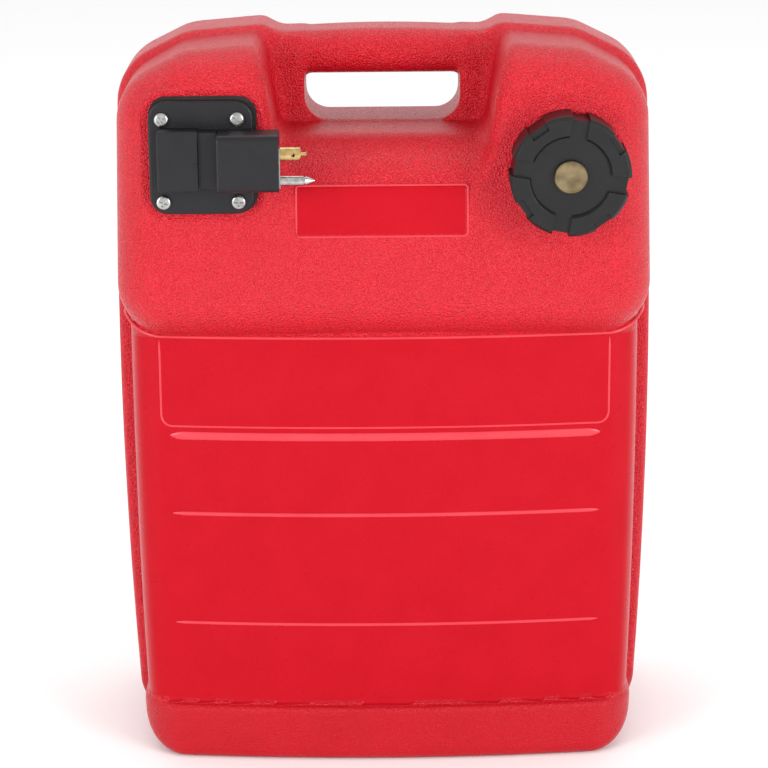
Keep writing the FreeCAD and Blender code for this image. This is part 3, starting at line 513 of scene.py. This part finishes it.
def head_foot(x):
    """Height of the head's lower edge at x."""
    beyond = max(0.0, abs(x) - FOOT_ARC_START)
    return HEAD_BOTTOM + FOOT_ARC - math.sqrt(max(FOOT_ARC ** 2 - beyond ** 2, 0.0))


def build_ribs():
    """Raised lines across the panel."""
    ribs = []
    for number, (height, half_height) in enumerate(RIBS, start=1):
        path = [(x, panel_front(x), height) for x in np.linspace(-RIB_HALF_LENGTH, RIB_HALF_LENGTH, 120)]
        ribs.append(bead(f"panel_rib_{number}", path, half_height, RIB_PROUD))
    return ribs


def build_label_frame():
    """Frame of the field under the head, open at the top."""
    half, low, high, corner = 143.0, 227.2, 284.0, 7.0
    angles = np.linspace(0, math.pi / 2, 8)
    left = [(-half, height) for height in np.linspace(high, low + corner, 24)]
    left += [(-half + corner - corner * math.cos(angle), low + corner - corner * math.sin(angle))
             for angle in angles[1:]]
    line = left + [(x, low) for x in np.linspace(-half + corner + 3, half - corner - 3, 70)]
    line += [(-x, height) for x, height in reversed(left)]
    return bead("label_frame", [(x, panel_front(x), height) for x, height in line], 0.7, 0.35)


def build_head_rim():
    """Edge where the head meets the panel."""
    front = panel_outline(-GIRDLE_HALF - 4)
    front = front[np.argsort(front[:, 0] * 1000 + front[:, 1] * np.sign(front[:, 0]))]
    ends = [(-PANEL_HALF, -GIRDLE_HALF), (PANEL_HALF, -GIRDLE_HALF)]
    front = np.concatenate([ends[:1], front, ends[1:]])
    dense = np.linspace(0, len(front) - 1, 200)
    xs = np.interp(dense, range(len(front)), front[:, 0])
    ys = np.interp(dense, range(len(front)), front[:, 1])
    rim = [(x, y, head_foot(x) - 0.6) for x, y in zip(xs, ys)]
    return bead("head_rim", rim, 1.1, 1.1)


def build_plaque_border():
    """Border of the bare plate on the head."""
    border = rounded_points([(PLAQUE_LEFT, PLAQUE_LOW, 2), (PLAQUE_RIGHT, PLAQUE_LOW, 2),
                             (PLAQUE_RIGHT, PLAQUE_HIGH, 2), (PLAQUE_LEFT, PLAQUE_HIGH, 2)])
    border = np.concatenate([border, border[:1]])
    steps = np.concatenate([[0], np.cumsum(np.linalg.norm(np.diff(border, axis=0), axis=1))])
    along = np.linspace(0, steps[-1], 160)
    path = [(np.interp(run, steps, border[:, 0]), -FRONT_DEPTH, np.interp(run, steps, border[:, 1]))
            for run in along]
    return bead("plate_border", path, 0.6, 0.3)


beads = build_ribs() + [build_label_frame(), build_head_rim(), build_plaque_border()]


# Materials


def new_material(name):
    """Material with its nodes, links and main shader."""
    material = bpy.data.materials.new(name)
    material.use_nodes = True
    tree = material.node_tree
    return material, tree.nodes, tree.links, tree.nodes["Principled BSDF"]


def noise(nodes, links, vector, scale, detail=3.0, roughness=0.5):
    """Noise texture in object space, its factor returned."""
    texture = nodes.new("ShaderNodeTexNoise")
    texture.inputs["Scale"].default_value = scale
    texture.inputs["Detail"].default_value = detail
    texture.inputs["Roughness"].default_value = roughness
    links.new(vector, texture.inputs["Vector"])
    return texture.outputs["Fac"]


def ramp(nodes, links, value, stops):
    """Colour ramp over a value, stops being (position, colour)."""
    node = nodes.new("ShaderNodeValToRGB")
    elements = node.color_ramp.elements
    for element, (position, colour) in zip(elements, (stops[0], stops[-1])):
        element.position, element.color = position, (*colour, 1)
    for position, colour in stops[1:-1]:
        elements.new(position).color = (*colour, 1)
    links.new(value, node.inputs["Fac"])
    return node.outputs["Color"]


def spread(nodes, links, value, low, high, out_low, out_high):
    """Value mapped from one range to another."""
    node = nodes.new("ShaderNodeMapRange")
    for name, number in (("From Min", low), ("From Max", high), ("To Min", out_low), ("To Max", out_high)):
        node.inputs[name].default_value = number
    links.new(value, node.inputs["Value"])
    return node.outputs["Result"]


def product(nodes, links, a, b):
    """Product of two values."""
    node = nodes.new("ShaderNodeMath")
    node.operation = "MULTIPLY"
    links.new(a, node.inputs[0])
    links.new(b, node.inputs[1])
    return node.outputs["Value"]


def bump(nodes, links, height, shader, strength, distance, below=None):
    """Bump from a height value, over an earlier normal if there is one."""
    node = nodes.new("ShaderNodeBump")
    node.inputs["Strength"].default_value = strength
    node.inputs["Distance"].default_value = distance
    links.new(height, node.inputs["Height"])
    if below is not None:
        links.new(below, node.inputs["Normal"])
    links.new(node.outputs["Normal"], shader.inputs["Normal"])


def object_space(nodes):
    """Object coordinates."""
    return nodes.new("ShaderNodeTexCoord").outputs["Object"]


def moulded_plastic(name, dark, light, roughness, grain_scale, grain_depth, grained=None, shine=0.5,
                    tint=(1, 1, 1), edge=None):
    """Plastic with a moulded grain, a faint mottle and small changes in gloss.

    A mesh attribute named by grained scales the grain, the shine and a speckle painted into the colour:
    painted glints, lighter at the grain's high points, that leave grained areas a lighter red overall.
    """
    material, nodes, links, shader = new_material(name)
    where = object_space(nodes)
    mottle = noise(nodes, links, where, 38.0)
    colour = ramp(nodes, links, mottle, [(0.3, dark), (0.7, light)])
    gloss = spread(nodes, links, noise(nodes, links, where, 160.0), 0.3, 0.7,
                   roughness - 0.03, roughness + 0.04)
    links.new(gloss, shader.inputs["Roughness"])
    shader.inputs["Specular IOR Level"].default_value = shine
    shader.inputs["Specular Tint"].default_value = (*tint, 1)
    grain = noise(nodes, links, where, grain_scale, 1.5, 0.45)
    if grained is not None:
        attribute = nodes.new("ShaderNodeAttribute")
        attribute.attribute_name = grained
        grain = product(nodes, links, grain, attribute.outputs["Fac"])
        links.new(spread(nodes, links, attribute.outputs["Fac"], 0.05, 1.0, shine / 4, shine),
                  shader.inputs["Specular IOR Level"])
        # Colour scaled from 0.94 to 1.42 by the grain: painted glints on the grain's high points, so grained
        # areas come out a lighter red than the panel.
        painted_glints = nodes.new("ShaderNodeVectorMath")
        painted_glints.operation = "SCALE"
        links.new(colour, painted_glints.inputs["Vector"])
        links.new(spread(nodes, links, grain, 0.32, 0.68, 0.94, 1.42), painted_glints.inputs["Scale"])
        colour = painted_glints.outputs["Vector"]
    links.new(colour, shader.inputs["Base Color"])
    rounded = None
    if edge is not None:
        bevel = nodes.new("ShaderNodeBevel")
        bevel.inputs["Radius"].default_value = edge
        rounded = bevel.outputs["Normal"]
    bump(nodes, links, grain, shader, 1.0, grain_depth, rounded)
    return material


def metal(name, dark, light, roughness, scale):
    """Worked metal with fine marks and uneven gloss."""
    material, nodes, links, shader = new_material(name)
    marks = noise(nodes, links, object_space(nodes), scale)
    links.new(ramp(nodes, links, marks, [(0.3, dark), (0.7, light)]), shader.inputs["Base Color"])
    links.new(spread(nodes, links, marks, 0.3, 0.7, roughness - 0.05, roughness + 0.07),
              shader.inputs["Roughness"])
    shader.inputs["Metallic"].default_value = 1.0
    bump(nodes, links, marks, shader, 0.25, 0.00004)
    return material


red = moulded_plastic("red_polyethylene", (0.42, 0.003, 0.010), (0.445, 0.004, 0.012), 0.30, 950.0, 0.0016,
                      grained="grain", shine=0.62, tint=(1, 0.5, 0.55))
# Raised lines are the tank's own red plastic; their lighter red is a painted highlight along each line.
red_line_painted_highlight = moulded_plastic("raised_line_painted_highlight", (0.56, 0.02, 0.035), (0.60, 0.03, 0.045), 0.3, 950.0, 0.0001,
                           shine=0.8, tint=(1, 0.6, 0.65))
black = moulded_plastic("black_plastic", (0.003, 0.003, 0.0035), (0.006, 0.006, 0.0065), 0.36, 1500.0, 0.00012,
                        shine=0.35, edge=0.0006)
grey_black = moulded_plastic("connector_plastic", (0.003, 0.0025, 0.004), (0.006, 0.005, 0.008), 0.42, 1600.0,
                             0.00015, shine=0.35, edge=0.0008)
pale = moulded_plastic("pale_plastic", (0.5, 0.47, 0.4), (0.6, 0.57, 0.5), 0.4, 1200.0, 0.00005)
rubber = moulded_plastic("rubber", (0.01, 0.01, 0.01), (0.018, 0.018, 0.018), 0.65, 1100.0, 0.0001, shine=0.3)
brass = metal("turned_brass", (0.45, 0.31, 0.12), (0.66, 0.48, 0.22), 0.24, 300.0)
dull_brass = metal("dull_brass", (0.13, 0.095, 0.05), (0.30, 0.23, 0.13), 0.3, 120.0)
steel = metal("zinc_steel", (0.30, 0.30, 0.30), (0.52, 0.52, 0.51), 0.22, 300.0)

NODE_MATERIALS = {
    "cap_body": black, "cap_gasket": rubber, "vent_insert": brass, "vent_seal": rubber,
    "vent_screw": dull_brass, "outlet_gasket": rubber, "outlet_plate": grey_black, "outlet_screws": steel, "seat_inserts": brass,
    "connector_housing": grey_black, "fuel_nipple": brass, "valve_pin": brass, "valve_seal": rubber,
    "valve_spring": steel, "guide_pin": steel, "connector_plate": steel, "pickup_tube": pale,
    "pickup_strainer": pale,
}
for name, material in NODE_MATERIALS.items():
    for obj in bpy.data.objects:
        if obj.type == "MESH" and obj.name == name:
            obj.data.materials.clear()
            obj.data.materials.append(material)
for piece in (shell, neck):
    piece.data.materials.append(red)
# Beads get the lighter red, a painted highlight on the raised lines.
for line in beads:
    line.data.materials.append(red_line_painted_highlight)


# Camera, floor and light


def build_camera():
    """Camera looking down at the front of the tank."""
    camera = bpy.data.objects.new("camera", bpy.data.cameras.new("camera"))
    bpy.context.scene.collection.objects.link(camera)
    camera.data.lens = CAMERA_LENS
    camera.data.sensor_width = SENSOR_WIDTH
    camera.data.clip_end = 50
    place = Vector((CAMERA_SIDE, -CAMERA_DISTANCE * math.cos(CAMERA_ELEVATION),
                    CAMERA_TARGET_HEIGHT + CAMERA_DISTANCE * math.sin(CAMERA_ELEVATION)))
    tilt = Matrix.Rotation(math.pi / 2 - CAMERA_ELEVATION, 4, "X")
    roll = Matrix.Rotation(CAMERA_ROLL, 4, "Z")
    camera.matrix_world = Matrix.Translation(place) @ tilt @ roll
    bpy.context.scene.camera = camera


def build_floor():
    """Wide pale floor."""
    half = 9.0
    floor = mesh_object("floor", [(-half, -half, 0), (half, -half, 0), (half, half, 0), (-half, half, 0)],
                        [(0, 1, 2, 3)], smooth=False)
    material, _, _, shader = new_material("pale_floor")
    shader.inputs["Base Color"].default_value = (0.95, 0.95, 0.95, 1)
    shader.inputs["Roughness"].default_value = 0.8
    floor.data.materials.append(material)


def build_light(name, place, aim, size, power):
    """Soft rectangular light aimed at a point."""
    data = bpy.data.lights.new(name, "AREA")
    data.shape = "RECTANGLE"
    data.size, data.size_y = size
    data.energy = power
    light = bpy.data.objects.new(name, data)
    bpy.context.scene.collection.objects.link(light)
    light.location = place
    light.rotation_euler = (Vector(aim) - Vector(place)).to_track_quat("-Z", "Y").to_euler()


def build_sky():
    """Even pale surroundings."""
    world = bpy.data.worlds.new("surroundings")
    world.use_nodes = True
    background = world.node_tree.nodes["Background"]
    background.inputs["Color"].default_value = (1.0, 1.0, 1.0, 1)
    background.inputs["Strength"].default_value = SKY_STRENGTH
    bpy.context.scene.world = world


build_camera()
build_floor()
build_sky()
build_light("overhead", (0.0, 1.3, 2.2), (0, 0, 0.3), (2.4, 1.0), 10)
build_light("left_front", (-1.6, -1.7, 0.75), (0, 0, 0.25), (0.9, 1.1), 26)
build_light("right_front", (1.6, -1.7, 0.75), (0, 0, 0.25), (0.9, 1.1), 30)

bpy.context.scene.view_settings.view_transform = "Standard"
